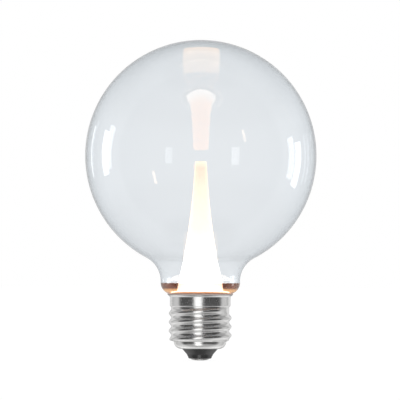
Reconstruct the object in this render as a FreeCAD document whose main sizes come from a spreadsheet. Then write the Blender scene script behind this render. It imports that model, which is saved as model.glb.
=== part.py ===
import FreeCAD, Part

import math
import os
import re

import Sketcher
from FreeCAD import Placement, Rotation, Vector

# Globe bulb on a rolled 27 mm screw cap, cap down. Millimetres, Z up along the bulb's axis.
# The origin is the tip of the centre contact, where the bulb meets the spring of its holder.

doc = FreeCAD.newDocument("GlobeBulb")
sheet = doc.addObject("Spreadsheet::Sheet", "Sizes")

# Driving dimensions
SIZES = {
    # rolled cap, from the middle outwards and from the lip upwards
    "thread_crest_radius": 13.05,
    "thread_depth": 1.0,
    "thread_pitch": 3.629,
    "thread_root_gap": 1.129,
    "thread_crest_flat": 0.48,
    "thread_crest_drop": 0.33,
    "thread_crest_width": 1.32,
    "thread_start_angle": 150.0,
    "thread_start_rise": 0.0,
    "thread_fade_angle": 50.0,
    "thread_end_gap": 0.92,
    "thread_zone_length": 13.8,
    "skirt_inset": 0.45,
    "skirt_length": 4.4,
    "rim_flare": 0.8,
    "shell_wall": 0.3,
    "lip_draw": 1.15,
    "lip_roll_radius": 3.0,
    "lip_flat": 0.45,
    "lip_floor_height": 4.85,
    "lip_shoulder_rise": 0.5,
    # cement
    "cement_thickness": 0.45,
    "cement_bead": 0.4,
    "cement_bulge": 0.2,
    # blown glass
    "globe_radius": 48.0,
    "glass_wall": 0.8,
    "neck_blend_radius": 11.0,
    "neck_length": 0.575,
    "neck_overhang": 4.6,  # from the stub's face out to the neck's
    "shoulder_radius": 4.7,
    "stub_turn_radius": 0.75,
    "stub_clearance": 0.3,
    # light cone and what it stands in
    "cone_height": 54.2,
    "cone_tip_radius": 2.36,
    "cone_flank_radius": 290.0,
    "cone_wall": 1.0,
    "cone_tip_round": 0.8,
    "flange_overhang": 0.35,
    "flange_width": 2.25,
    "flange_thickness": 0.8,
    "flange_clearance": 0.2,
    "resin_depth": 3.7,
    # light board and the parts that cool it
    "board_thickness": 1.0,
    "pad_thickness": 0.3,
    "spreader_reveal": 0.3,
    "spreader_wall": 0.8,
    "spreader_gap": 0.15,
    "chip_count": 8,
    "chip_margin": 1.5,
    "chip_length": 3.5,
    "chip_width": 2.8,
    "chip_height": 0.7,
    # insulator and centre contact
    "insulator_waist_taper": 2.0,
    "insulator_waist_height": 2.5,
    "insulator_tip_taper": 0.5,
    "insulator_face_height": 0.75,
    "insulator_edge_round": 0.8,
    "contact_reveal": 0.55,
    "contact_edge_thickness": 0.3,
    "contact_dome_radius": 12.0,
    "contact_tip_radius": 1.0,
    "rivet_radius": 1.5,
    "rivet_head_radius": 2.4,
    "rivet_head_height": 0.4,
    # driver in the cap
    "sleeve_wall": 0.8,
    "sleeve_gap": 0.15,
    "sleeve_top_gap": 1.35,
    "card_thickness": 1.2,
    "card_top_gap": 1.65,
    "card_face_depth": 3.2,  # from the axis to the face that carries the tall parts
    "card_gap": 0.25,
    "tall_part_gap": 0.5,
    "capacitor_radius": 3.2,
    "capacitor_length": 11.0,
    "capacitor_chamfer": 0.5,
    "capacitor_groove_level": 1.6,
    "capacitor_groove_depth": 0.35,
    "choke_radius": 2.6,
    "choke_winding_depth": 0.5,
    "choke_length": 6.8,
    "choke_flange": 0.9,
    "film_capacitor_length": 6.4,
    "film_capacitor_depth": 4.4,
    "film_capacitor_height": 4.6,
    "film_capacitor_margin": 0.9,
    "rectifier_length": 4.7,
    "rectifier_height": 3.9,
    "rectifier_offset": 3.2,
    "rectifier_level": 6.5,
    "driver_chip_length": 4.9,
    "driver_chip_height": 3.9,
    "driver_chip_offset": 2.9,
    "driver_chip_level": 6.0,
    "package_depth": 1.5,
    "pin_width": 0.45,
    "pin_reach": 1.0,
    "pin_thickness": 0.25,
    "pin_pitch": 1.27,
    "resistor_radius": 1.2,
    "resistor_length": 6.5,
    "resistor_level": 2.2,
    "lead_radius": 0.45,
    "lead_bend_radius": 1.2,
    "lead_spacing": 3.0,
    # running fits
    "fit_gap": 0.05,
}


def fill_sheet():
    for row, (alias, value) in enumerate(SIZES.items(), start=1):
        sheet.set(f"A{row}", alias)
        sheet.set(f"B{row}", str(value))
        sheet.setAlias(f"B{row}", alias)
    doc.recompute()


def linked(text):
    """An expression with every size in it taken from the sheet."""
    return re.sub(r"\b[a-z]+(?:_[a-z]+)+\b", lambda name: "Sizes." + name.group(), text)


def number(text):
    """What an expression comes to with the sheet's present sizes."""
    return float(sheet.evalExpression(linked(text)))


def drive(thing, **expressions):
    for name, text in expressions.items():
        thing.setExpression(name, linked(text))


def origin_plane(body, role):
    return next(plane for plane in body.Origin.OriginFeatures if plane.Role == role)


def new_body(label):
    body = doc.addObject("PartDesign::Body", label)
    body.Label = label
    doc.recompute([body])
    return body


def new_sketch(body, name, role):
    sketch = body.newObject("Sketcher::SketchObject", name)
    sketch.AttachmentSupport = [(origin_plane(body, role), "")]
    sketch.MapMode = "FlatFace"
    return sketch


def pin_down(sketch, edge, end, x, y):
    """Ties one end of an edge to a place that the sheet gives."""
    for axis, kind, text in ((-2, "DistanceX", x), (-1, "DistanceY", y)):
        if text == "0":
            sketch.addConstraint(Sketcher.Constraint("PointOnObject", edge, end, axis))
        else:
            index = sketch.addConstraint(Sketcher.Constraint(kind, edge, end, number(text)))
            sketch.setExpression(f"Constraints[{index}]", linked(text))


def arc_edge(start, end, radius, turn):
    """The short arc from start to end that turns left or right, and whether it was drawn backwards."""
    chord = end - start
    half = chord.Length / 2
    side = Vector(-chord.y, chord.x, 0).normalize()
    reach = math.sqrt(max(radius * radius - half * half, 0.0))
    centre = (start + end) / 2 + side * (reach if turn == "left" else -reach)
    first, last = (start, end) if turn == "left" else (end, start)
    angles = [math.atan2(point.y - centre.y, point.x - centre.x) for point in (first, last)]
    return Part.ArcOfCircle(Part.Circle(centre, Vector(0, 0, 1), radius), *angles), turn == "right"


def draw_outline(sketch, steps):
    """Draws a closed outline. A step is (x, y) for a line to there, or (x, y, radius, turn) for an arc."""
    corners = [Vector(number(step[0]), number(step[1]), 0) for step in steps]
    ends = []
    for index, step in enumerate(steps):
        start, end = corners[index - 1], corners[index]
        if len(step) == 2:
            edge = sketch.addGeometry(Part.LineSegment(start, end))
            ends.append((edge, 1, 2))
        else:
            arc, backwards = arc_edge(start, end, number(step[2]), step[3])
            edge = sketch.addGeometry(arc)
            ends.append((edge, 2, 1) if backwards else (edge, 1, 2))
    for index, step in enumerate(steps):
        edge, _, end = ends[index]
        follower, start, _ = ends[(index + 1) % len(steps)]
        sketch.addConstraint(Sketcher.Constraint("Coincident", edge, end, follower, start))
        pin_down(sketch, edge, end, step[0], step[1])
        if len(step) == 4:
            radius = sketch.addConstraint(Sketcher.Constraint("Radius", edge, number(step[2])))
            sketch.setExpression(f"Constraints[{radius}]", linked(step[2]))


def turned(label, steps):
    """A body turned from one outline that is drawn beside the bulb's axis."""
    body = new_body(label)
    sketch = new_sketch(body, label + "_outline", "XZ_Plane")
    draw_outline(sketch, steps)
    turn = body.newObject("PartDesign::Revolution", label + "_turn")
    turn.Profile = sketch
    turn.ReferenceAxis = (sketch, ["V_Axis"])
    turn.Angle = 360
    sketch.Visibility = False
    return body


def cylinder(label, radius, height, x="0", y="0", level="0"):
    rod = doc.addObject("Part::Cylinder", label)
    drive(rod, Radius=radius, Height=height)
    place(rod, x, y, level)
    return rod


def block(label, size, corner):
    box = doc.addObject("Part::Box", label)
    drive(box, Length=size[0], Width=size[1], Height=size[2])
    place(box, *corner)
    return box


def place(thing, x, y, level):
    for axis, text in zip("xyz", (x, y, level)):
        thing.setExpression(f".Placement.Base.{axis}", linked(text))


def joined(label, pieces):
    group = doc.addObject("Part::MultiFuse", label)
    group.Shapes = pieces
    group.Refine = False
    return group


def cut(label, base, tool):
    result = doc.addObject("Part::Cut", label)
    result.Base = base
    result.Tool = tool
    result.Refine = False
    return result


fill_sheet()

# Cap: radii from the thread's crest inwards, levels from the lip's floor upwards
root_radius = "(thread_crest_radius - thread_depth)"
skirt_radius = "(thread_crest_radius - skirt_inset)"
skirt_step = f"({skirt_radius} - {root_radius})"
rim_radius = f"({skirt_radius} + rim_flare)"
lip_radius = f"({root_radius} - lip_draw)"
curl_middle = f"({lip_radius} - lip_roll_radius)"
lip_hole_radius = f"({curl_middle} - lip_flat)"
lip_level = "(lip_floor_height + lip_roll_radius)"
lip_shoulder_level = f"({lip_level} + lip_shoulder_rise)"
thread_zone_top = f"({lip_shoulder_level} + thread_zone_length)"
skirt_bottom = f"({thread_zone_top} + {skirt_step})"
cap_rim_level = f"({skirt_bottom} + skirt_length)"

# Glass: the stub fits the skirt with cement between, and each curve starts where the one below it ends
glass_floor = f"({cap_rim_level} + cement_bead)"
stub_radius = f"({skirt_radius} - shell_wall - cement_thickness)"
stub_level = f"({skirt_bottom} + stub_clearance)"
neck_radius = f"({stub_radius} + neck_overhang)"
shoulder_middle = f"({neck_radius} - shoulder_radius)"
shoulder_level = f"({glass_floor} + shoulder_radius)"
turn_reach = "(shoulder_radius + stub_turn_radius)"
turn_side = f"({stub_radius} + stub_turn_radius - {shoulder_middle})"
turn_drop = f"sqrt({turn_reach}^2 - {turn_side}^2)"
turn_level = f"({shoulder_level} - {turn_drop})"
blend_level = f"({shoulder_level} + neck_length)"
blend_middle = f"({neck_radius} + neck_blend_radius)"
blend_reach = "(globe_radius + neck_blend_radius)"
blend_drop = f"sqrt({blend_reach}^2 - {blend_middle}^2)"
globe_level = f"({blend_level} + {blend_drop})"

# Cone, light board and spreader: a stack that stands just clear of the glass
base_level = f"({glass_floor} + glass_wall + flange_clearance)"
flange_radius = f"({stub_radius} + flange_overhang)"
flange_top = f"({base_level} + flange_thickness)"
cone_foot_radius = f"({flange_radius} - flange_width)"
cone_tip = f"({base_level} + cone_height)"
board_bottom = f"({base_level} - board_thickness)"
spreader_radius = f"({stub_radius} - glass_wall - spreader_gap)"
spreader_top = f"({board_bottom} - pad_thickness)"
spreader_bottom = f"({stub_level} - spreader_reveal)"

# Driver: the sleeve lines the shell, and the card stands on the insulator with its edges by the sleeve
sleeve_radius = f"({root_radius} - shell_wall - sleeve_gap)"
sleeve_bore = f"({sleeve_radius} - sleeve_wall)"
sleeve_level = f"({lip_shoulder_level} + shell_wall + sleeve_gap)"
sleeve_top = f"({thread_zone_top} - sleeve_top_gap)"
card_level = f"({lip_level} + fit_gap)"
card_top = f"({thread_zone_top} - card_top_gap)"
card_back = "(card_face_depth + card_thickness)"
card_middle = "(card_face_depth + card_thickness / 2)"
card_half = f"(sqrt({sleeve_bore}^2 - {card_back}^2) - card_gap)"
tall_level = f"({lip_level} + rivet_head_height + fit_gap)"  # the tall parts clear the rivet's head


# Blown glass globe: one wall from the crown through the waisted neck to the stub inside the cap.

def shoulder_foot(reach):
    """Where the shoulder's curve, or one beside it, meets the turn down to the stub."""
    share = f"{reach} / {turn_reach}"
    return f"{shoulder_middle} + {turn_side} * {share}", f"{shoulder_level} - {turn_drop} * {share}"


def glass_line(inset):
    """The glass's outline from stub to crown at a distance inside its outer face."""
    shoulder = f"(shoulder_radius - {inset})"
    sphere = f"(globe_radius - {inset})"
    meeting = f"{sphere} / {blend_reach}"  # where sphere and neck blend touch, as a share of their reach
    return [
        (f"{stub_radius} - {inset}", stub_level),
        (f"{stub_radius} - {inset}", turn_level),
        (*shoulder_foot(shoulder), f"stub_turn_radius + {inset}", "right"),
        (f"{neck_radius} - {inset}", shoulder_level, shoulder, "left"),
        (f"{neck_radius} - {inset}", blend_level),
        (
            f"{blend_middle} * {meeting}",
            f"{globe_level} - {blend_drop} * {meeting}",
            f"neck_blend_radius + {inset}",
            "right",
        ),
        ("0", f"{globe_level} + {sphere}", sphere, "left"),
    ]


def back_along(steps):
    """The same line drawn the other way, with each arc kept on its own stretch."""
    flipped = {"left": "right", "right": "left"}
    path = [steps[-1][:2]]
    for index in range(len(steps) - 1, 0, -1):
        step, target = steps[index], steps[index - 1]
        path.append(target[:2] + ((step[2], flipped[step[3]]) if len(step) == 4 else ()))
    return path


glass_globe = turned("glass_globe", glass_line("0") + back_along(glass_line("glass_wall")))


# Light cone: a frosted thin-walled moulding with a flared foot, a flat closed tip and a flange to stand on.

flank_lean = f"({cone_foot_radius} - cone_tip_radius)"
flank_chord = f"sqrt({flank_lean}^2 + cone_height^2)"
flank_reach = f"sqrt(cone_flank_radius^2 - {flank_chord}^2 / 4)"
flank_middle = f"(({cone_foot_radius} + cone_tip_radius) / 2 + {flank_reach} * cone_height / {flank_chord})"
flank_level = f"({base_level} + cone_height / 2 + {flank_reach} * {flank_lean} / {flank_chord})"


def cone_radius(level):
    """How far out the cone's hollowed flank is at a level."""
    return f"({flank_middle} - sqrt(cone_flank_radius^2 - ({flank_level} - {level})^2))"


tip_shoulder = f"({cone_tip} - cone_tip_round)"
light_cone = turned("light_cone", [
    (f"{cone_foot_radius} - cone_wall", base_level, "cone_flank_radius", "left"),
    (flange_radius, base_level),
    (flange_radius, flange_top),
    (cone_radius(flange_top), flange_top),
    (cone_radius(tip_shoulder), tip_shoulder, "cone_flank_radius", "right"),
    (f"{cone_radius(tip_shoulder)} - cone_tip_round", cone_tip, "cone_tip_round", "left"),
    ("0", cone_tip),
    ("0", f"{cone_tip} - cone_wall"),
    (f"{cone_radius(tip_shoulder)} - cone_wall", f"{cone_tip} - cone_wall"),
])

# Bedding resin: the amber ring that was poured round the cone's foot and has set level in the neck.
resin_top = f"({base_level} + resin_depth)"
resin_turn = "(shoulder_radius - glass_wall - fit_gap)"
resin_side = f"({flange_radius} + fit_gap)"
resin_edge = f"({shoulder_middle} + sqrt({resin_turn}^2 - ({shoulder_level} - {resin_top})^2))"
bedding_resin = turned("bedding_resin", [
    (resin_side, f"{shoulder_level} - sqrt({resin_turn}^2 - ({resin_side} - {shoulder_middle})^2)"),
    (resin_edge, resin_top, resin_turn, "left"),
    (f"{cone_radius(resin_top)} + fit_gap", resin_top),
    (f"{cone_radius(flange_top)} + fit_gap", f"{flange_top} + fit_gap", "cone_flank_radius", "left"),
    (resin_side, f"{flange_top} + fit_gap"),
])


# Light board, thermal pad and heat spreader: a stack on one axis, pierced for the two leads from the driver.

def lead_pair(label, radius, bottom, top):
    rods = [
        cylinder(f"{label}_{side}", radius, f"{top} - {bottom}", f"{sign}lead_spacing", card_middle, bottom)
        for side, sign in (("left", "-"), ("right", ""))
    ]
    return joined(label, rods)


def pierced(label, solid, bottom, top):
    """The solid with two clearance holes for the leads."""
    holes = lead_pair(label + "_holes", "lead_radius + spreader_gap", bottom, top)
    return cut(label, solid, holes)


led_board = cylinder("led_board", spreader_radius, "board_thickness", level=board_bottom)
thermal_pad = pierced(
    "thermal_pad",
    cylinder("pad_disc", spreader_radius, "pad_thickness", level=spreader_top),
    spreader_top,
    board_bottom,
)
spreader_cup = turned("spreader_cup", [
    (spreader_radius, spreader_bottom),
    (spreader_radius, spreader_top),
    ("0", spreader_top),
    ("0", f"{spreader_top} - spreader_wall"),
    (f"{spreader_radius} - spreader_wall", f"{spreader_top} - spreader_wall"),
    (f"{spreader_radius} - spreader_wall", spreader_bottom),
])
heat_spreader = pierced("heat_spreader", spreader_cup, f"({spreader_top} - spreader_wall)", spreader_top)

# Light-emitting chips: a ring of flat packages on the board, inside the cone's foot.
first_chip = block(
    "first_chip",
    ("chip_length", "chip_width", "chip_height"),
    (f"{cone_foot_radius} - cone_wall - chip_margin - chip_length", "-chip_width / 2", base_level),
)
led_chips = doc.addObject("Part::Feature", "led_chips")
doc.recompute([first_chip])
chip_total = round(number("chip_count"))
led_chips.Shape = Part.makeCompound([
    first_chip.Shape.rotated(Vector(0, 0, 0), Vector(0, 0, 1), 360.0 * turn / chip_total)
    for turn in range(chip_total)
])

# Screw shell: thin nickelled sheet, drawn to a cup, rolled into a round thread and curled in
# under the insulator.
rim_base = f"({cap_rim_level} - rim_flare)"
corner = "shell_wall * 0.41421"  # the rise from the sheet's outer corner to its inner one at a 45 degree bend
inner_curl = "(lip_roll_radius - shell_wall)"
half_turn = 0.70711  # sine and cosine of 45 degrees, for a curl whose hidden side is drawn with two flats
shell_sheet = turned("shell_sheet", [
    (rim_radius, cap_rim_level),
    (f"{rim_radius} - shell_wall", cap_rim_level),
    (f"{skirt_radius} - shell_wall", f"{rim_base} + {corner}"),
    (f"{skirt_radius} - shell_wall", f"{skirt_bottom} + {corner}"),
    (f"{root_radius} - shell_wall", f"{thread_zone_top} + {corner}"),
    (f"{root_radius} - shell_wall", f"{lip_shoulder_level} + shell_wall"),
    (f"{lip_radius} - shell_wall", lip_level),
    (f"{curl_middle} + {inner_curl} * {half_turn}", f"{lip_level} - {inner_curl} * {half_turn}"),
    (curl_middle, "lip_floor_height + shell_wall"),
    (lip_hole_radius, "lip_floor_height + shell_wall"),
    (lip_hole_radius, "lip_floor_height"),
    (curl_middle, "lip_floor_height"),
    (lip_radius, lip_level, "lip_roll_radius", "left"),
    (root_radius, lip_shoulder_level),
    (root_radius, thread_zone_top),
    (skirt_radius, skirt_bottom),
    (skirt_radius, rim_base),
])


def thread_rails(inset, base_radius, rest_radius):
    """The rolled ridge's edges: each one's radius, its rise from the crest line and its end radius."""
    root = number(root_radius)
    crest = number("thread_crest_radius") - inset
    lower_crest = crest - number("thread_crest_drop")
    base_width = number("thread_pitch - thread_root_gap")
    slope = (base_width - number("thread_crest_width")) / 2 / (lower_crest + inset - root)
    slip = inset * (math.hypot(1.0, slope) - slope)  # by how much a flank's inner face is narrower
    upper = [
        (crest, number("thread_crest_flat / 2") - slip / 4, rest_radius),
        (lower_crest, number("thread_crest_width / 2") - slip / 2, rest_radius),
        (base_radius, base_width / 2 + slope * (root - inset - base_radius) - slip, base_radius),
    ]
    lower = [(radius, -width, rest) for radius, width, rest in reversed(upper)]
    return lower + upper


def thread_edge(rail, start, end):
    """One edge of the ridge, a helix that sinks into the wall towards both ends."""
    radius, rise, rest = rail
    fade, pitch = number("thread_fade_angle"), number("thread_pitch")
    first_angle = number("thread_start_angle")
    first_level = number(f"{lip_shoulder_level} + thread_start_rise")
    steps = round((end - start) / THREAD_STEP_ANGLE)
    points = []
    for step in range(steps + 1):
        angle = start + (end - start) * step / steps
        along = min(1.0, (angle - start) / fade, (end - angle) / fade)
        out = rest + (radius - rest) * along * along * (3.0 - 2.0 * along)
        turn = math.radians(angle)
        level = first_level + pitch * (angle - first_angle) / 360.0 + rise
        points.append(Vector(out * math.cos(turn), out * math.sin(turn), level))
    line = Part.BSplineCurve()
    line.interpolate(points)
    return line.toShape()


def thread_ridge(rails, lead_in):
    """The closed solid between the rails, from end to end of the thread."""
    turns = number("(thread_zone_length - thread_end_gap) / thread_pitch")
    start = number("thread_start_angle") + lead_in
    end = number("thread_start_angle") + 360.0 * turns - lead_in
    edges = [thread_edge(rail, start, end) for rail in rails]
    bands = [Part.makeRuledSurface(edge, following) for edge, following in zip(edges, edges[1:] + edges[:1])]
    ends = []
    for index in (0, -1):
        corners = [edge.Vertexes[index].Point for edge in edges]
        ends.append(Part.Face(Part.makePolygon(corners + corners[:1])))
    shell = Part.makeShell(bands + ends)
    shell.sewShape()
    solid = Part.makeSolid(shell)
    return solid if solid.Volume > 0 else solid.reversed()


def lip_trim(inset):
    """Everything above the slope that the lip is pressed to, so that no thread hangs below it."""
    inner, outer = number(lip_radius) - inset, number("2 * thread_crest_radius")
    low, high, top = number(lip_level), number(lip_shoulder_level) + inset, number(cap_rim_level)
    slope = (high - low) / (number(root_radius) - inset - inner)
    rise = slope * (outer - inner)
    outline = [(0, low), (inner, low), (outer, low + rise), (outer, top), (0, top), (0, low)]
    face = Part.Face(Part.makePolygon([Vector(x, 0, z) for x, z in outline]))
    return face.revolve(Vector(0, 0, 0), Vector(0, 0, 1), 360)


def thread_feature(name, inset, base_radius, rest_radius, lead_in):
    feature = doc.addObject("Part::Feature", name)
    rails = thread_rails(inset, base_radius, rest_radius)
    feature.Shape = thread_ridge(rails, lead_in).common(lip_trim(inset))
    return feature


THREAD_STEP_ANGLE = 15.0  # between the points that each helix is drawn through
HOLLOW_LEAD_IN = 4.0  # the thread's inner side starts and ends this many degrees inside its outer side
wall, root = number("shell_wall"), number(root_radius)
ridge_foot, ridge_end = root - 0.6 * wall, root - 0.4 * wall  # in the sheet, and the ridge grows out of it
hollow_foot, hollow_end = root - 1.6 * wall, root - 1.2 * wall  # in the bore, and the hollow opens to it
ridge = thread_feature("thread_ridge", 0.0, ridge_foot, ridge_end, 0.0)
hollow = thread_feature("thread_hollow", wall, hollow_foot, hollow_end, HOLLOW_LEAD_IN)
screw_shell = cut("screw_shell", joined("threaded_sheet", [shell_sheet, ridge]), hollow)

# Cap cement: the ring that holds the glass stub in the cap, with the bead that shows under the glass.
cement_inner = f"({stub_radius} + fit_gap)"
cement_outer = f"({skirt_radius} - shell_wall - fit_gap)"
bead_radius = f"({rim_radius} + cement_bulge)"
bead_reach = "(shoulder_radius + fit_gap)"
cap_cement = turned("cap_cement", [
    (cement_inner, stub_level),
    (cement_outer, stub_level),
    (cement_outer, f"{rim_base} + {corner}"),
    (f"{rim_radius} - shell_wall - fit_gap", f"{cap_rim_level} + fit_gap"),
    (rim_radius, f"{cap_rim_level} + fit_gap"),
    (bead_radius, f"{shoulder_level} - sqrt({bead_reach}^2 - ({bead_radius} - {shoulder_middle})^2)"),
    (*shoulder_foot(bead_reach), bead_reach, "right"),
    (cement_inner, turn_level),
])

# Insulator: a black moulded plug that the shell's lip is curled round, with a hole for the contact's rivet.
plug_turn = "(lip_roll_radius - shell_wall - fit_gap)"
waist_radius = f"({lip_hole_radius} - insulator_waist_taper)"
tip_radius = f"({waist_radius} - insulator_tip_taper)"
insulator = turned("insulator", [
    ("rivet_radius + fit_gap", lip_level),
    (f"{curl_middle} + {plug_turn}", lip_level),
    (f"{curl_middle} + {plug_turn} * {half_turn}", f"{lip_level} - {plug_turn} * {half_turn}"),
    (curl_middle, f"{lip_level} - {plug_turn}"),
    (f"{lip_hole_radius} - fit_gap", f"{lip_level} - {plug_turn}"),
    (f"{lip_hole_radius} - fit_gap", "lip_floor_height - fit_gap"),
    (waist_radius, "insulator_waist_height"),
    (tip_radius, "insulator_face_height + insulator_edge_round"),
    (f"{tip_radius} - insulator_edge_round", "insulator_face_height", "insulator_edge_round", "right"),
    ("rivet_radius + fit_gap", "insulator_face_height"),
])

# Centre contact: a domed eyelet with a small flat tip, riveted over on top of the insulator.
contact_edge = "(insulator_face_height - contact_edge_thickness)"
contact_radius = f"({tip_radius} - insulator_edge_round - contact_reveal)"
centre_contact = turned("centre_contact", [
    ("0", "0"),
    ("contact_tip_radius", "0"),
    (contact_radius, contact_edge, "contact_dome_radius", "left"),
    (contact_radius, "insulator_face_height"),
    ("rivet_radius", "insulator_face_height"),
    ("rivet_radius", lip_level),
    ("rivet_head_radius", lip_level),
    ("rivet_head_radius", f"{lip_level} + rivet_head_height"),
    ("0", f"{lip_level} + rivet_head_height"),
])

# Driver sleeve: a plastic tube that keeps the driver off the live shell.
driver_sleeve = turned("driver_sleeve", [
    (sleeve_bore, sleeve_level),
    (sleeve_radius, sleeve_level),
    (sleeve_radius, sleeve_top),
    (sleeve_bore, sleeve_top),
])

# Driver card: it stands on the insulator, and its long edges come up to the sleeve.
driver_card = block(
    "driver_card",
    (f"2 * {card_half}", "card_thickness", f"{card_top} - {card_level}"),
    (f"-{card_half}", "card_face_depth", card_level),
)


# Tall parts on the card's inner face, each against the card and as far out as the sleeve lets it stand.

def tall_part(label, steps, radius, side):
    body = turned(label, steps)
    depth = f"(card_face_depth - fit_gap - {radius})"
    out = f"sqrt(({sleeve_bore} - tall_part_gap - {radius})^2 - {depth}^2)"
    place(body, f"{side}{out}", depth, tall_level)
    return body


smoothing_capacitor = tall_part("smoothing_capacitor", [
    ("0", "0"),
    ("capacitor_radius - capacitor_chamfer", "0"),
    ("capacitor_radius", "capacitor_chamfer"),
    ("capacitor_radius", "capacitor_groove_level - capacitor_groove_depth"),
    ("capacitor_radius - capacitor_groove_depth", "capacitor_groove_level"),
    ("capacitor_radius", "capacitor_groove_level + capacitor_groove_depth"),
    ("capacitor_radius", "capacitor_length - capacitor_chamfer"),
    ("capacitor_radius - capacitor_chamfer", "capacitor_length"),
    ("0", "capacitor_length"),
], "capacitor_radius", "-")

winding_radius = "(choke_radius - choke_winding_depth)"
filter_choke = tall_part("filter_choke", [
    ("0", "0"),
    ("choke_radius", "0"),
    ("choke_radius", "choke_flange"),
    (winding_radius, "choke_flange"),
    (winding_radius, "choke_length - choke_flange"),
    ("choke_radius", "choke_length - choke_flange"),
    ("choke_radius", "choke_length"),
    ("0", "choke_length"),
], "choke_radius", "")

film_capacitor = block(
    "film_capacitor",
    ("film_capacitor_length", "film_capacitor_depth", "film_capacitor_height"),
    (
        f"{card_half} - film_capacitor_margin - film_capacitor_length",
        "card_face_depth - fit_gap - film_capacitor_depth",
        f"{tall_level} + choke_length + fit_gap",
    ),
)


# Flat packages on the card's outer face, each with a row of pins on two sides.

def package(label, length, height, middle, level, pins):
    """A moulded block with pins that reach out above and below it and lie on the card."""
    bottom = f"({card_level} + {level})"
    pieces = [block(
        label + "_case",
        (length, "package_depth", height),
        (f"{middle} - {length} / 2", card_back, bottom),
    )]
    for side, pin_bottom in (("lower", f"{bottom} - pin_reach"), ("upper", f"{bottom} + {height}")):
        for index in range(pins):
            shift = index - (pins - 1) / 2
            pieces.append(block(
                f"{label}_{side}_pin_{index + 1}",
                ("pin_width", "pin_thickness", "pin_reach"),
                (f"{middle} + {shift} * pin_pitch - pin_width / 2", card_back, pin_bottom),
            ))
    return joined(label, pieces)


bridge_rectifier = package(
    "bridge_rectifier", "rectifier_length", "rectifier_height", "-rectifier_offset", "rectifier_level", 2
)
driver_chip = package(
    "driver_chip", "driver_chip_length", "driver_chip_height", "driver_chip_offset", "driver_chip_level", 4
)

# Fusible resistor: a small coated rod that lies along the card's foot.
fusible_resistor = doc.addObject("Part::Cylinder", "fusible_resistor")
drive(fusible_resistor, Radius="resistor_radius", Height="resistor_length")
fusible_resistor.Placement = Placement(Vector(0, 0, 0), Rotation(Vector(0, 1, 0), 90))
resistor_middle = (f"{card_back} + resistor_radius", f"{card_level} + resistor_level")
place(fusible_resistor, "-resistor_length / 2", *resistor_middle)


# Insulated leads: bent wires from the contact and the shell to the card, and straight ones up to
# the light board.

def bent_lead(label, role, rise, run, across, up, level):
    """A wire that rises by one size, turns through a right angle and runs on to another."""
    body = new_body(label)
    path = new_sketch(body, label + "_path", role)
    start, bend, middle = Vector(0, 0, 0), Vector(0, number(rise), 0), number("lead_bend_radius")
    sign = 1.0 if number(run) > 0 else -1.0
    centre = bend + Vector(sign * middle, 0, 0)
    angles = (math.pi / 2, math.pi) if sign > 0 else (0.0, math.pi / 2)
    arc = Part.ArcOfCircle(Part.Circle(centre, Vector(0, 0, 1), middle), *angles)
    riser = path.addGeometry(Part.LineSegment(start, bend))
    turn = path.addGeometry(arc)
    far = Vector(number(run), number(rise) + middle, 0)
    runner = path.addGeometry(Part.LineSegment(Vector(sign * middle, number(rise) + middle, 0), far))
    near_end, far_end = (2, 1) if sign > 0 else (1, 2)
    path.addConstraint(Sketcher.Constraint("Coincident", riser, 1, -1, 1))
    path.addConstraint(Sketcher.Constraint("Coincident", riser, 2, turn, near_end))
    path.addConstraint(Sketcher.Constraint("Coincident", turn, far_end, runner, 1))
    pin_down(path, riser, 2, "0", rise)
    pin_down(path, turn, far_end, f"{'' if sign > 0 else '-'}lead_bend_radius", f"{rise} + lead_bend_radius")
    radius = path.addConstraint(Sketcher.Constraint("Radius", turn, middle))
    path.setExpression(f"Constraints[{radius}]", linked("lead_bend_radius"))
    pin_down(path, runner, 2, run, f"{rise} + lead_bend_radius")
    section = new_sketch(body, label + "_section", "XY_Plane")
    ring = section.addGeometry(Part.Circle(Vector(0, 0, 0), Vector(0, 0, 1), number("lead_radius")))
    section.addConstraint(Sketcher.Constraint("Coincident", ring, 3, -1, 1))
    size = section.addConstraint(Sketcher.Constraint("Radius", ring, number("lead_radius")))
    section.setExpression(f"Constraints[{size}]", linked("lead_radius"))
    pipe = body.newObject("PartDesign::AdditivePipe", label + "_pipe")
    pipe.Profile = section
    pipe.Spine = (path, ["Edge1", "Edge2", "Edge3"])
    place(body, across, up, level)
    return body


live_lead = bent_lead(
    "live_lead", "YZ_Plane", "lead_bend_radius", "card_face_depth - fit_gap",
    "0", "0", f"{lip_level} + rivet_head_height",
)
shell_reach = f"sqrt(({root_radius} - shell_wall - fit_gap)^2 - ({card_middle} + lead_radius)^2)"
lead_foot = f"({card_half} - 2 * lead_radius)"
neutral_lead = bent_lead(
    "neutral_lead", "XZ_Plane", "lead_radius", f"{shell_reach} - {lead_foot}",
    lead_foot, card_middle, card_top,
)
led_leads = {
    name: cylinder(
        name, "lead_radius", f"{board_bottom} - {card_top}", f"{sign}lead_spacing", card_middle, card_top
    )
    for name, sign in (("led_lead_positive", ""), ("led_lead_negative", "-"))
}

# Every separate piece of the bulb, from the crown down
PIECES = [
    glass_globe, light_cone, bedding_resin, led_chips, led_board, thermal_pad, heat_spreader, cap_cement,
    screw_shell, insulator, centre_contact, driver_sleeve, driver_card, smoothing_capacitor, filter_choke,
    film_capacitor, bridge_rectifier, driver_chip, fusible_resistor, live_lead, neutral_lead,
    led_leads["led_lead_positive"], led_leads["led_lead_negative"],
]

doc.recompute()
for thing in doc.Objects:
    if {"Invalid", "Error"} & set(thing.State):
        raise RuntimeError(f"{thing.Label} did not rebuild: {thing.State}")
for piece in PIECES:
    if piece.Shape.isNull() or not piece.Shape.isValid():
        raise RuntimeError(f"{piece.Label} has no valid shape")

os.makedirs("parts", exist_ok=True)
for piece in PIECES:
    piece.Shape.exportStep(f"parts/{piece.Label}.step")
    print(f"{piece.Label:22} solids {len(piece.Shape.Solids)}  volume {piece.Shape.Volume:10.2f} mm3")
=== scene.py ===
import math

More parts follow.
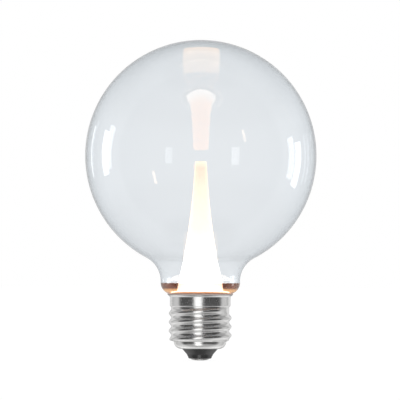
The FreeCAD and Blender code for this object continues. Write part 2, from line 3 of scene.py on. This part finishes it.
import bmesh
import bpy
from mathutils import Matrix, Vector


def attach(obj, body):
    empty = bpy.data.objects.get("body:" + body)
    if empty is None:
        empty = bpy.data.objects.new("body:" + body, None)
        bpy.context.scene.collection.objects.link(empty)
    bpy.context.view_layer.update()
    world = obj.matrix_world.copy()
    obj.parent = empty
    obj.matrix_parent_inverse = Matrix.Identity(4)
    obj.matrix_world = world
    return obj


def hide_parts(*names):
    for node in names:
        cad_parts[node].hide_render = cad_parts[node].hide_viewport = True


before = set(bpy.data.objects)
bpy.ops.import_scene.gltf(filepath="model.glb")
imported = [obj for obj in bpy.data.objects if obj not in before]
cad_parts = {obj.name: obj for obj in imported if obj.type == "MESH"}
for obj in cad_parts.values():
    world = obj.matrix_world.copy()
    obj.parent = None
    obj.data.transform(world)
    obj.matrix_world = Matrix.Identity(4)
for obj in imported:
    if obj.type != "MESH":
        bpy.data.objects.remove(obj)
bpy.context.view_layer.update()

# Glass globe: clear glass, blown in one skin from the crown through the neck to the stub that the cap holds.
# The outer line runs up the stub, out over the shoulder and through the neck, and the inner line comes back
# a wall's thickness inside it. Outlines are in millimetres, as (radius, height) beside the bulb's axis.

globe_radius, globe_level = 48.0, 85.0
glass_wall = 0.8
stub_radius, stub_foot, stub_top = 11.85, 23.0, 24.9
shoulder_radius, shoulder_across, shoulder_level = 4.7, 11.75, 32.2
turn_radius, turn_across = 0.75, 12.6
neck_curve = 11.0

# Each curve touches the next one, which puts its middle at the two radii's sum from the next one's middle.
turn_drop = math.sqrt((shoulder_radius + turn_radius)**2 - (turn_across - shoulder_across)**2)
turn_level = shoulder_level - turn_drop
neck_across = shoulder_across + shoulder_radius + neck_curve
neck_level = globe_level - math.sqrt((globe_radius + neck_curve)**2 - neck_across**2)
shoulder_start = math.degrees(math.atan2(turn_level - shoulder_level, turn_across - shoulder_across))
neck_end = math.degrees(math.atan2(globe_level - neck_level, -neck_across))


def arc(middle, radius, start, end, steps):
    """Points along an arc, with angles in degrees."""
    turns = [math.radians(start + (end - start) * step / steps) for step in range(steps + 1)]
    return [(middle[0] + radius * math.cos(turn), middle[1] + radius * math.sin(turn)) for turn in turns]


def glass_line(inset):
    """Stub, turn, shoulder, neck and sphere, at a distance inside the outer face."""
    stub = [(stub_radius - inset, stub_foot), (stub_radius - inset, stub_top)]
    turn = arc((turn_across, turn_level), turn_radius + inset, 180, shoulder_start + 180, 6)
    shoulder = arc((shoulder_across, shoulder_level), shoulder_radius - inset, shoulder_start, 0, 16)
    neck = arc((neck_across, neck_level), neck_curve + inset, 180, neck_end, 16)
    sphere = arc((0.0, globe_level), globe_radius - inset, neck_end - 180, 90, 90)
    return stub + turn + shoulder[1:] + neck + sphere[1:-1] + [(0.0, globe_level + globe_radius - inset)]


class Wire:
    """A node's socket. Arithmetic on it adds Math nodes to the tree that is being wired."""

    tree = None

    def __init__(self, socket):
        self.socket = socket

    @classmethod
    def node(cls, kind, inputs=(), output=0, stops=None, **settings):
        """Adds a node, sets it up, then fills or links its sockets and returns one of its outputs."""
        made = cls.tree.nodes.new("ShaderNode" + kind)
        for name, value in settings.items():
            setattr(made, name, value)
        if stops:
            ramp = made.color_ramp
            while len(ramp.elements) < len(stops):
                ramp.elements.new(0.5)
            for element, (place, colour) in zip(ramp.elements, stops):
                element.position = place
                element.color = (*colour, 1.0) if isinstance(colour, tuple) else (colour, colour, colour, 1.0)
        for key, value in dict(inputs).items():
            cls.fill(made.inputs[key], value)
        return cls(made.outputs[output])

    @classmethod
    def fill(cls, socket, value):
        """Links a Wire to a socket, or sets a constant on it."""
        if isinstance(value, Wire):
            cls.tree.links.new(value.socket, socket)
        elif isinstance(value, tuple) and socket.type == "RGBA" and len(value) == 3:
            socket.default_value = (*value, 1.0)
        else:
            socket.default_value = value

    def maths(self, operation, other, swapped=False):
        operands = [other, self] if swapped else [self, other]
        return Wire.node("Math", dict(enumerate(operands)), operation=operation)

    def __add__(self, other):
        return self.maths("ADD", other)

    def __sub__(self, other):
        return self.maths("SUBTRACT", other)

    def __rsub__(self, other):
        return self.maths("SUBTRACT", other, swapped=True)

    def __mul__(self, other):
        return self.maths("MULTIPLY", other)

    def __truediv__(self, other):
        return self.maths("DIVIDE", other)

    def __rtruediv__(self, other):
        return self.maths("DIVIDE", other, swapped=True)

    def __gt__(self, other):
        return self.maths("GREATER_THAN", other)

    __radd__ = __add__
    __rmul__ = __mul__

    def between(self, low, high):
        """0 at low, 1 at high and an eased rise from one to the other."""
        return Wire.node("MapRange", {0: self, 1: low, 2: high}, interpolation_type="SMOOTHSTEP")


def noise(scale, detail=2.0, stretch=(1.0, 1.0, 1.0)):
    """Even noise from 0 to 1 over the object, at so many spots per metre."""
    place = Wire.node("TexCoord", output="Object")
    spot = Wire.node("VectorMath", {0: place, 1: stretch}, operation="MULTIPLY")
    return Wire.node("TexNoise", {"Vector": spot, "Scale": scale, "Detail": detail})


def bump(height, depth, strength):
    return Wire.node("Bump", {"Height": height, "Distance": depth, "Strength": strength})


def material(name, paint, absorption=None):
    """A material whose surface sockets come from paint(), which runs with the wiring set to it."""
    made = bpy.data.materials.new(name)
    made.use_nodes = True
    Wire.tree = made.node_tree
    surface = made.node_tree.nodes["Principled BSDF"]
    for key, value in paint().items():
        Wire.fill(surface.inputs[key], value)
    if absorption:
        colour, density = absorption
        depth = Wire.node("VolumeAbsorption", {"Color": colour, "Density": density})
        Wire.fill(made.node_tree.nodes["Material Output"].inputs["Volume"], depth)
    return made


def turned_piece(name, outline, surface, node, steps=96, shift=None):
    """Spins a closed outline round the axis into a smooth mesh that stands for a CAD node."""
    shape = bmesh.new()
    ring = [shape.verts.new((radius / 1000, 0.0, level / 1000)) for radius, level in outline]
    edges = [shape.edges.new(pair) for pair in zip(ring, ring[1:] + ring[:1])]
    bmesh.ops.spin(
        shape, geom=ring + edges, cent=(0, 0, 0), axis=(0, 0, 1), angle=math.tau, steps=steps, use_merge=True
    )
    bmesh.ops.remove_doubles(shape, verts=shape.verts, dist=1e-6)
    bmesh.ops.dissolve_degenerate(shape, edges=shape.edges, dist=1e-7)
    if shift:
        for corner in shape.verts:
            corner.co = shift(corner.co)
    bmesh.ops.recalc_face_normals(shape, faces=shape.faces)
    mesh = bpy.data.meshes.new(name)
    shape.to_mesh(mesh)
    shape.free()
    mesh.polygons.foreach_set("use_smooth", [True] * len(mesh.polygons))
    mesh.set_sharp_from_angle(angle=math.radians(35))
    mesh.materials.append(surface)
    piece = bpy.data.objects.new(name, mesh)
    bpy.context.scene.collection.objects.link(piece)
    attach(piece, "root")
    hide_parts(node)
    return piece


def clear_glass():
    waviness = noise(22.0, 1.0)
    return {
        "Base Color": (1.0, 1.0, 1.0),
        "Transmission Weight": 1.0,
        "IOR": 1.5,
        "Roughness": 0.0,
        "Normal": bump(waviness, 0.0004, 0.04),
    }


globe = turned_piece(
    "globe",
    glass_line(0.0) + glass_line(glass_wall)[::-1],
    material("clear glass", clear_glass, absorption=((0.14, 0.36, 0.54), 95.0)),
    "glass_globe", steps=216,
)
globe.visible_shadow = False

# Light cone: a frosted moulding with a hollowed flank and an even wall, which stands on its flange.
# The chips under it light its foot, and the light turns warm on its long way through the frost to the tip.

cone_foot, cone_top, cone_wall = 28.5, 82.7, 1.0
flange_radius, flange_top = 12.2, 29.3
tip_corner = 0.8
flank_curve, flank_across, flank_level = 290.0, 292.07, 95.64


def cone_flank(level):
    """Radius of the hollowed flank at a level."""
    return flank_across - math.sqrt(flank_curve**2 - (flank_level - level)**2)


def axis(direction, name):
    """One coordinate of a vector."""
    return Wire.node("SeparateXYZ", {0: direction}, output=name)


def height_mm():
    """Height on the bulb, from the tip of the contact."""
    return axis(Wire.node("TexCoord", output="Object"), "Z") * 1000.0


def blend(factor, first, second):
    """One colour where the factor is 0 and the other where it is 1."""
    return Wire.node("Mix", {0: factor, 6: first, 7: second}, output=2, data_type="RGBA")


def seen_in_mirror():
    """1 on a path that a mirror or a plated face has turned, and 0 on any other."""
    return Wire.node("LightPath", output="Glossy Depth") > 0.5


def lit_cone():
    glow = Wire.node("ValToRGB", {0: height_mm() / 100.0}, stops=[
        (0.2900, (0.045, 0.024, 0.020)),
        (0.2912, (1.0, 1.0, 0.97)),
        (0.33, (1.0, 1.0, 0.97)),
        (0.43, (0.50, 0.50, 0.47)),
        (0.48, (0.28, 0.28, 0.24)),
        (0.55, (0.235, 0.23, 0.195)),
        (0.65, (0.225, 0.21, 0.175)),
        (0.70, (0.22, 0.20, 0.16)),
        (0.75, (0.215, 0.18, 0.145)),
        (0.80, (0.205, 0.16, 0.13)),
        (0.825, (0.235, 0.215, 0.175)),
    ])
    grain = noise(900.0, 3.0)
    return {
        "Base Color": blend(grain, (0.30, 0.30, 0.29), (0.22, 0.22, 0.21)),
        "Roughness": 0.45 + grain * 0.1,
        "Emission Color": blend(seen_in_mirror(), glow, (0.0, 0.0, 0.0)),
        "Emission Strength": 4.0,
        "Normal": bump(grain, 0.0001, 0.1),
    }


corner_level, ceiling_level = cone_top - tip_corner, cone_top - cone_wall
flank_levels = [flange_top + (corner_level - flange_top) * step / 36 for step in range(37)]
cone_line = [(flange_radius, cone_foot), (flange_radius, flange_top)]
cone_line += [(cone_flank(level), level) for level in flank_levels]
cone_line += arc((cone_flank(corner_level) - tip_corner, corner_level), tip_corner, 0, 90, 6)[1:]
cone_line += [(0.0, cone_top), (0.0, ceiling_level), (cone_flank(ceiling_level) - cone_wall, ceiling_level)]
cone_line += [(cone_flank(level) - cone_wall, level) for level in flank_levels[-2:1:-2] + [cone_foot]]
cone = turned_piece(
    "light_guide", cone_line, material("frosted cone", lit_cone), "light_cone", steps=72
)
cone.visible_glossy = False


def mirrored_cone():
    glow = Wire.node("ValToRGB", {0: height_mm() / 100.0}, stops=[
        (0.34, (1.0, 0.88, 0.78)),
        (0.44, (0.84, 0.64, 0.49)),
        (0.54, (0.85, 0.48, 0.27)),
        (0.83, (0.85, 0.43, 0.22)),
    ])
    return {"Base Color": (0.0, 0.0, 0.0), "Emission Color": glow, "Emission Strength": 7.6}


# The cone is far brighter than a picture can show, so the globe mirrors it from a copy that only mirrors see.
# The copy is a third wider than the cone, ends above the bedding, and opens towards its foot as a horn does.
copy_foot, horn_top, horn_drop = 0.0325, 0.0425, 0.009
double = bpy.data.objects.new("cone in the mirror", cone.data.copy())
double.data.materials[0] = material("mirrored cone", mirrored_cone)
horn = bmesh.new()
horn.from_mesh(double.data)
buried = [corner for corner in horn.verts if corner.co.z < copy_foot]
bmesh.ops.delete(horn, geom=buried, context="VERTS")
for corner in horn.verts:
    opened = min(1.0, max(0.0, horn_top - corner.co.z) / horn_drop)**1.3
    spread = 0.97 * (1.4 + 0.15 * opened)
    corner.co = (corner.co.x * spread, corner.co.y * spread, corner.co.z * 0.998)
horn.to_mesh(double.data)
horn.free()
bpy.context.scene.collection.objects.link(double)
double.visible_camera = double.visible_diffuse = double.visible_transmission = double.visible_shadow = False

# Bedding resin: clear amber resin, poured round the cone's foot, where it has set level in the neck.
# It laps the glass and the cone by a hair, so that no gap shows. The chips' light makes its foot glow gold.

resin_lap = 0.05
resin_top, resin_foot = shoulder_level, flange_top + resin_lap
resin_start = -82.5  # degrees round the shoulder's curve, where the resin leaves the glass


def amber():
    cloud = noise(350.0, 3.0)
    glow = Wire.node("ValToRGB", {0: (height_mm() - 28.0) / 5.0}, stops=[
        (0.08, (0.18, 0.075, 0.04)),
        (0.14, (0.28, 0.12, 0.06)),
        (0.22, (1.0, 0.60, 0.24)),
        (0.34, (0.75, 0.38, 0.13)),
        (0.46, (0.02, 0.006, 0.003)),
    ])
    return {
        "Base Color": blend(cloud, (1.0, 0.93, 0.86), (0.92, 0.80, 0.70)),
        "Transmission Weight": 1.0,
        "IOR": 1.12,
        "Roughness": 0.05 + cloud * 0.1,
        "Emission Color": blend(seen_in_mirror(), glow, (0.0, 0.0, 0.0)),
        "Emission Strength": 0.8,
        "Normal": bump(cloud, 0.0002, 0.2),
    }


resin_curve = shoulder_radius - glass_wall + resin_lap
resin_line = arc((shoulder_across, shoulder_level), resin_curve, resin_start, 0, 14)
resin_line += [(cone_flank(level) + resin_lap, level) for level in (resin_top, 31.5, 30.8, 30.0, resin_foot)]
resin_line += [(flange_radius + resin_lap, resin_foot)]
resin = turned_piece(
    "resin_ring", resin_line, material("amber resin", amber, absorption=((0.54, 0.27, 0.115), 165.0)),
    "bedding_resin",
)
resin.visible_glossy = False

# Cap cement: grey cement that fills the space between the glass stub and the skirt of the cap.
# A thin bead of it is squeezed out over the rim, and catches a copper light from the resin above.

skirt_radius, sheet, flare_foot = 12.6, 0.3, 26.42
rim_radius, rim_level = 13.4, 27.1
play = 0.05  # kept between the pieces in the cap
bead_width, bead_height = 0.15, 0.2
bead_start = -67.1  # degrees round the shoulder's curve, where the bead leaves the glass


def cement():
    grit = noise(2500.0, 4.0)
    return {
        "Base Color": blend(grit, (0.48, 0.47, 0.46), (0.66, 0.65, 0.63)),
        "Emission Color": blend(height_mm().between(27.35, 27.75), (0.0, 0.0, 0.0), (0.20, 0.10, 0.08)),
        "Emission Strength": 1.0,
        "Roughness": 0.8 + grit * 0.15,
        "Normal": bump(grit, 0.0002, 0.5),
    }


skirt_bore = skirt_radius - sheet
cement_line = [(stub_radius + play, stub_foot), (skirt_bore - play, stub_foot)]
cement_line += [(skirt_bore - play, flare_foot), (rim_radius - sheet - play, rim_level + play)]
cement_line += [(rim_radius, rim_level + play), (rim_radius + bead_width, rim_level + bead_height)]
cement_line += arc((shoulder_across, shoulder_level), shoulder_radius + play, bead_start, shoulder_start, 4)
cement_line += [(stub_radius + play, turn_level)]
bead = turned_piece("cement_bead", cement_line, material("cap cement", cement), "cap_cement")
bead.visible_glossy = False

# Screw shell: nickel-plated brass sheet, drawn to a cup and rolled into a round thread.
# The cup is spun plain, and then each point is pushed out by the thread's wave, which fades at both ends.

thread_pitch, thread_turns = 3.629, 3.549
thread_foot, thread_top, thread_depth = 8.35, 22.15, 1.0
thread_start = 150.0  # degrees round the axis, where the wave rises from the root
thread_fade = 50.0  # degrees over which the wave rises at its start and sinks at its end
lip_ease, skirt_ease = 0.7, 0.3  # heights over which the wave sinks towards the lip and the skirt
root_radius = 12.05
skirt_foot, skirt_top = 22.85, 26.3
lip_across, lip_level, lip_curve = 7.9, 7.85, 3.0
lip_bore, lip_foot = 7.45, 4.85


def thread_swell(turn, level):
    """How far the rolled thread stands out here, from 0 in the root to 1 on the crest."""
    passed = thread_start + 360.0 * (level - thread_foot) / thread_pitch
    along = turn + 360.0 * round((passed - turn) / 360.0)
    end = thread_start + 360.0 * thread_turns
    fade = min(1.0, max(0.0, min(along - thread_start, end - along) / thread_fade))
    wave = 0.5 + 0.5 * math.cos(math.radians(passed - along))
    return wave**1.1 * fade * fade * (3.0 - 2.0 * fade)


def roll(corner):
    """Moves a point of the plain cup to its place on the rolled thread."""
    radius, level = math.hypot(corner.x, corner.y) * 1000, corner.z * 1000
    if not lip_level < level < thread_top:
        return corner
    ease = max(0.0, min(1.0, (level - lip_level) / lip_ease, (thread_top - level) / skirt_ease))
    swell = thread_swell(math.degrees(math.atan2(corner.y, corner.x)), level) * ease
    scale = (radius + thread_depth * swell) / radius
    return Vector((corner.x * scale, corner.y * scale, corner.z))


def nickel():
    wear = noise(700.0, 4.0, stretch=(1.0, 1.0, 3.0))
    haze = noise(140.0, 2.0)
    marks = (noise(5200.0, 2.0, stretch=(1.0, 1.0, 0.15)) > 0.68) * 0.12
    return {
        "Base Color": blend(haze, (0.90, 0.895, 0.885), (0.82, 0.815, 0.81)),
        "Metallic": 1.0,
        "Roughness": 0.17 + wear * 0.12 + marks,
        "Normal": bump(wear, 0.0002, 0.12),
    }


levels = [thread_foot + (thread_top - thread_foot) * step / 66 for step in range(67)]
shell_line = [(lip_bore, lip_foot)] + arc((lip_across, lip_level), lip_curve, -90, 0, 10)
shell_line += [(root_radius, level) for level in levels]
shell_line += [(skirt_radius - 0.1, skirt_foot - 0.25), (skirt_radius, skirt_foot)]
shell_line += [(skirt_radius, skirt_top), (skirt_radius + 0.06, skirt_top + 0.2)]
shell_line += [(rim_radius, rim_level), (rim_radius - sheet, rim_level)]
shell_line += [(skirt_bore, flare_foot), (skirt_bore, skirt_foot - 0.03)]
shell_line += [(root_radius - sheet, level) for level in levels[::-2]]
shell_line += arc((lip_across, lip_level), lip_curve - sheet, 0, -90, 6) + [(lip_bore, lip_foot + sheet)]
turned_piece(
    "screw_cap", shell_line, material("nickel plate", nickel), "screw_shell",
    steps=144, shift=roll,
)

# Insulator: a black moulded plug that the lip holds, bored for the contact's rivet.
# Below the lip it steps in as a blunt cone, down to the seat of the contact.

rivet_radius, rivet_seat = 1.5, 7.85
contact_seat = 0.75


def black_plug():
    flow = noise(420.0, 3.0)
    return {
        "Base Color": blend(flow, (0.012, 0.012, 0.013), (0.030, 0.029, 0.028)),
        "Roughness": 0.13 + flow * 0.12,
        "Coat Weight": 0.5,
        "Coat Roughness": 0.08,
        "Normal": bump(flow, 0.0002, 0.15),
    }


plug_line = [(rivet_radius + play, rivet_seat)]
plug_line += arc((lip_across, lip_level), lip_curve - sheet - play, 0, -90, 8)
plug_line += [(lip_bore - play, lip_foot + sheet + play), (lip_bore - play, lip_foot - play)]
plug_line += [(7.25, 4.6), (5.6, 2.7), (5.45, 2.5), (5.37, 2.3)] + arc((4.15, 1.55), 0.8, 0, -90, 5)
plug_line += [(rivet_radius + play, contact_seat)]
turned_piece("insulator_plug", plug_line, material("black plug", black_plug), "insulator")

# Centre contact: a tinned eyelet with a shallow dome, whose rivet goes up through the insulator
# and is spread over its top.

contact_radius, contact_flat = 3.6, 1.0
head_radius, head_top = 2.4, 8.25


def tinned():
    rub = noise(1500.0, 4.0)
    return {
        "Base Color": blend(rub, (0.80, 0.79, 0.77), (0.92, 0.91, 0.90)),
        "Metallic": 0.7,
        "Roughness": 0.35 + rub * 0.2,
        "Normal": bump(rub, 0.0002, 0.3),
    }


dome_step = (contact_radius - contact_flat) / 5
contact_line = [(0.0, 0.0)] + [(contact_flat + dome_step * step, 0.018 * step**2) for step in range(6)]
contact_line += [(contact_radius, contact_seat), (rivet_radius, contact_seat), (rivet_radius, rivet_seat)]
contact_line += [(head_radius, rivet_seat), (head_radius, head_top - 0.05), (head_radius - 0.1, head_top)]
contact_line += [(0.0, head_top)]
turned_piece(
    "contact_eyelet", contact_line, material("tinned contact", tinned), "centre_contact"
)

# Light board and driver: sealed in the neck and the cap, so each part keeps its CAD shape and takes a finish.
# They run from the chips down to the leads, as they are stacked.


def finish(names, title, dark, light, spots=600.0, rough=0.5, metal=0.0, glow=0.0):
    """Gives CAD nodes a finish that is mottled between two colours."""
    def paint():
        mottle = noise(spots, 3.0)
        shades = {
            "Base Color": blend(mottle, dark, light),
            "Metallic": metal,
            "Roughness": rough + mottle * 0.1,
            "Normal": bump(mottle, 0.0001, 0.2),
        }
        if glow:
            shades["Emission Color"] = blend(mottle, (1.0, 0.98, 0.90), (1.0, 1.0, 1.0))
            shades["Emission Strength"] = glow
        return shades

    made = material(title, paint)
    for name in names:
        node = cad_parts[name]
        node.data.materials.clear()
        node.data.materials.append(made)


finish(["led_chips"], "phosphor", (0.80, 0.62, 0.16), (0.88, 0.72, 0.24), glow=1.0)
finish(["led_board"], "white board", (0.72, 0.73, 0.72), (0.80, 0.81, 0.80), rough=0.35)
finish(["thermal_pad"], "thermal pad", (0.30, 0.36, 0.42), (0.38, 0.44, 0.50), rough=0.7)
finish(["heat_spreader"], "bare aluminium", (0.70, 0.71, 0.72), (0.80, 0.81, 0.82), rough=0.3, metal=1.0)
finish(["driver_sleeve"], "white sleeve", (0.70, 0.70, 0.68), (0.78, 0.78, 0.76), rough=0.45)
finish(["driver_card"], "circuit card", (0.06, 0.16, 0.07), (0.09, 0.22, 0.10), rough=0.4)
finish(["smoothing_capacitor"], "capacitor jacket", (0.02, 0.02, 0.03), (0.04, 0.04, 0.05), rough=0.35)
finish(["filter_choke"], "ferrite", (0.05, 0.05, 0.055), (0.09, 0.085, 0.08), rough=0.6)
finish(["film_capacitor"], "film case", (0.50, 0.16, 0.04), (0.58, 0.21, 0.06), rough=0.35)
finish(["bridge_rectifier", "driver_chip"], "chip case", (0.015, 0.015, 0.016), (0.03, 0.03, 0.03), rough=0.5)
finish(["fusible_resistor"], "resistor coat", (0.10, 0.22, 0.36), (0.14, 0.28, 0.42), rough=0.45)
finish(["live_lead", "led_lead_positive"], "red wire", (0.48, 0.03, 0.02), (0.56, 0.05, 0.03), rough=0.4)
finish(
    ["neutral_lead", "led_lead_negative"], "black wire", (0.015, 0.015, 0.015), (0.03, 0.03, 0.03), rough=0.4
)

# Floor: a wide pale board at the tip of the contact, which keeps the bulb's soft shadow.
# It shows white where it is seen directly, and the glass and the plating don't see it at all.

floor_radius = 3.0
floor_mesh = bpy.data.meshes.new("floor")
board = bmesh.new()
bmesh.ops.create_circle(board, cap_ends=True, segments=64, radius=floor_radius)
board.to_mesh(floor_mesh)
board.free()
floor = bpy.data.objects.new("floor", floor_mesh)
bpy.context.scene.collection.objects.link(floor)
floor.visible_glossy = floor.visible_transmission = False


def pale():
    speckle = noise(60.0, 2.0)
    return {"Base Color": blend(speckle, (0.84, 0.84, 0.84), (0.88, 0.88, 0.88)), "Roughness": 0.9}


floor_paint = material("pale floor", pale)
camera_sees, metal_sees, glass_sees = (
    Wire.node("LightPath", output=path) for path in ("Is Camera Ray", "Is Glossy Ray", "Is Transmission Ray")
)
seen_directly = camera_sees.maths("MAXIMUM", metal_sees).maths("MAXIMUM", glass_sees)
painted = Wire(floor_paint.node_tree.nodes["Principled BSDF"].outputs[0])
white = Wire.node("Emission", {"Color": (1.0, 1.0, 1.0), "Strength": 1.1})
shown = Wire.node("MixShader", {0: seen_directly * 0.86, 1: painted, 2: white})
Wire.fill(floor_paint.node_tree.nodes["Material Output"].inputs["Surface"], shown)
floor_mesh.materials.append(floor_paint)

# Studio: white behind and to the sides, dim in front, above and in the far corners, so that the glass
# and the plating have something to mirror. The camera itself sees plain white.

studio = bpy.data.worlds.new("studio")
bpy.context.scene.world = studio
studio.use_nodes = True
Wire.tree = studio.node_tree
heading = Wire.node("TexCoord", output="Generated")
rise = axis(heading, "Z")
walls = Wire.node("ValToRGB", {0: axis(heading, "Y") * 0.5 + 0.5}, stops=[
    (0.0, 0.06),
    (0.46, 0.08),
    (0.52, 0.66),
    (0.72, 0.64),
    (0.80, 0.50),
    (0.87, 0.38),
    (0.93, 0.36),
    (0.97, 0.41),
    (1.0, 0.7),
])
under_ceiling = blend(rise.between(0.25, 0.7) * 0.45, walls, (0.0, 0.0, 0.0))
mirrored = blend(rise.between(-0.35, -0.7) * 0.42, under_ceiling, (1.0, 1.0, 1.0))
around = blend(Wire.node("LightPath", output="Is Glossy Ray"), (0.62, 0.62, 0.63), mirrored)
dark_above = (seen_in_mirror() * rise.between(0.25, 0.65) * 0.6).maths("MAXIMUM", rise.between(0.75, 0.95))
through_glass = blend(dark_above, (0.94, 0.945, 0.95), (0.1, 0.1, 0.1))
behind = blend(Wire.node("LightPath", output="Is Transmission Ray"), around, through_glass)
background = studio.node_tree.nodes["Background"]
sky = blend(Wire.node("LightPath", output="Is Camera Ray"), behind, (1.0, 1.0, 1.0))
Wire.fill(background.inputs["Color"], sky)
Wire.fill(background.inputs["Strength"], 1.0)

# Lamps: soft rectangles round the globe. Each is kept to its own pieces, as flags on stands do in a studio.
# Azimuth 0 is the camera's side and grows to the camera's right. Angles are in degrees, sizes and distances
# in metres, and powers in watts.


def softbox(
    name, pieces, azimuth, elevation, width, height, power, colour=(1.0, 1.0, 1.0), distance=1.2, back=None
):
    """A lamp that faces the globe, unless the direction of its back is given."""
    turn, lift = math.radians(azimuth), math.radians(elevation)
    away = Vector((math.sin(turn) * math.cos(lift), -math.cos(turn) * math.cos(lift), math.sin(lift)))
    lamp = bpy.data.lights.new(name, "AREA")
    lamp.shape, lamp.size, lamp.size_y = "RECTANGLE", width, height
    lamp.energy, lamp.color = power, colour
    holder = bpy.data.objects.new(name, lamp)
    holder.location = Vector((0.0, 0.0, globe_level / 1000)) + away * distance
    holder.rotation_euler = (back or away).to_track_quat("Z", "Y").to_euler()
    bpy.context.scene.collection.objects.link(holder)
    lit = bpy.data.collections.new(name + " pieces")
    for piece in pieces:
        lit.objects.link(bpy.data.objects[piece])
    holder.light_linking.receiver_collection = lit


glassware = ("globe", "light_guide", "resin_ring", "floor")
softbox("left softbox", glassware, -110.0, 1.6, 0.21, 0.53, 0.95)
softbox("right softbox", glassware, 112.5, -4.4, 0.21, 0.53, 0.95)
softbox("left strip", ("globe",), -139.0, 2.0, 0.05, 0.38, 0.085)
softbox("window", ("globe",), 34.0, -1.0, 0.16, 0.34, 0.22)
softbox("candle", ("globe",), -48.5, -20.0, 0.06, 0.25, 0.17, colour=(1.0, 0.72, 0.5))

# The lamp overhead leans back over the globe, so that its image on the crown keeps straight sides.
softbox(
    "overhead", ("globe",), 180.0, 59.0, 0.34, 1.2, 1.23,
    colour=(1.0, 0.57, 0.24), distance=1.1, back=Vector((0.0, -0.235, 0.972)),
)

# A tall lamp beside the camera draws the long white streak down the cap. Two cards behind it light its edges.
softbox("cap strip", ("screw_cap", "contact_eyelet", "insulator_plug"), -8.4, 0.0, 0.67, 4.0, 10.2)
for side in (-1, 1):
    softbox("edge card", ("screw_cap", "contact_eyelet"), side * 148.0, 0.0, 0.55, 4.0, 2.9)

# Camera: level with the foot of the globe, far off with a long lens, and tilted by a quarter of a degree.
# The picture takes in 166 mm of the bulb's plane.

camera = bpy.data.objects.new("camera", bpy.data.cameras.new("camera"))
bpy.context.scene.collection.objects.link(camera)
bpy.context.scene.camera = camera
camera_distance, camera_level, camera_aside = 2.0, 0.050, -0.00027
aim_level, picture_width = 0.0666, 0.166
camera.data.sensor_width = 36.0
camera.data.lens = camera.data.sensor_width * camera_distance / picture_width
camera.data.clip_end = 50.0
camera.location = (camera_aside, -camera_distance, camera_level)
aim = Vector((camera_aside, 0.0, aim_level)) - camera.location
tilt = Matrix.Rotation(math.radians(0.25), 3, "Z")
camera.rotation_euler = (aim.to_track_quat("-Z", "Y").to_matrix() @ tilt).to_euler()

bpy.context.scene.view_settings.view_transform = "Standard"
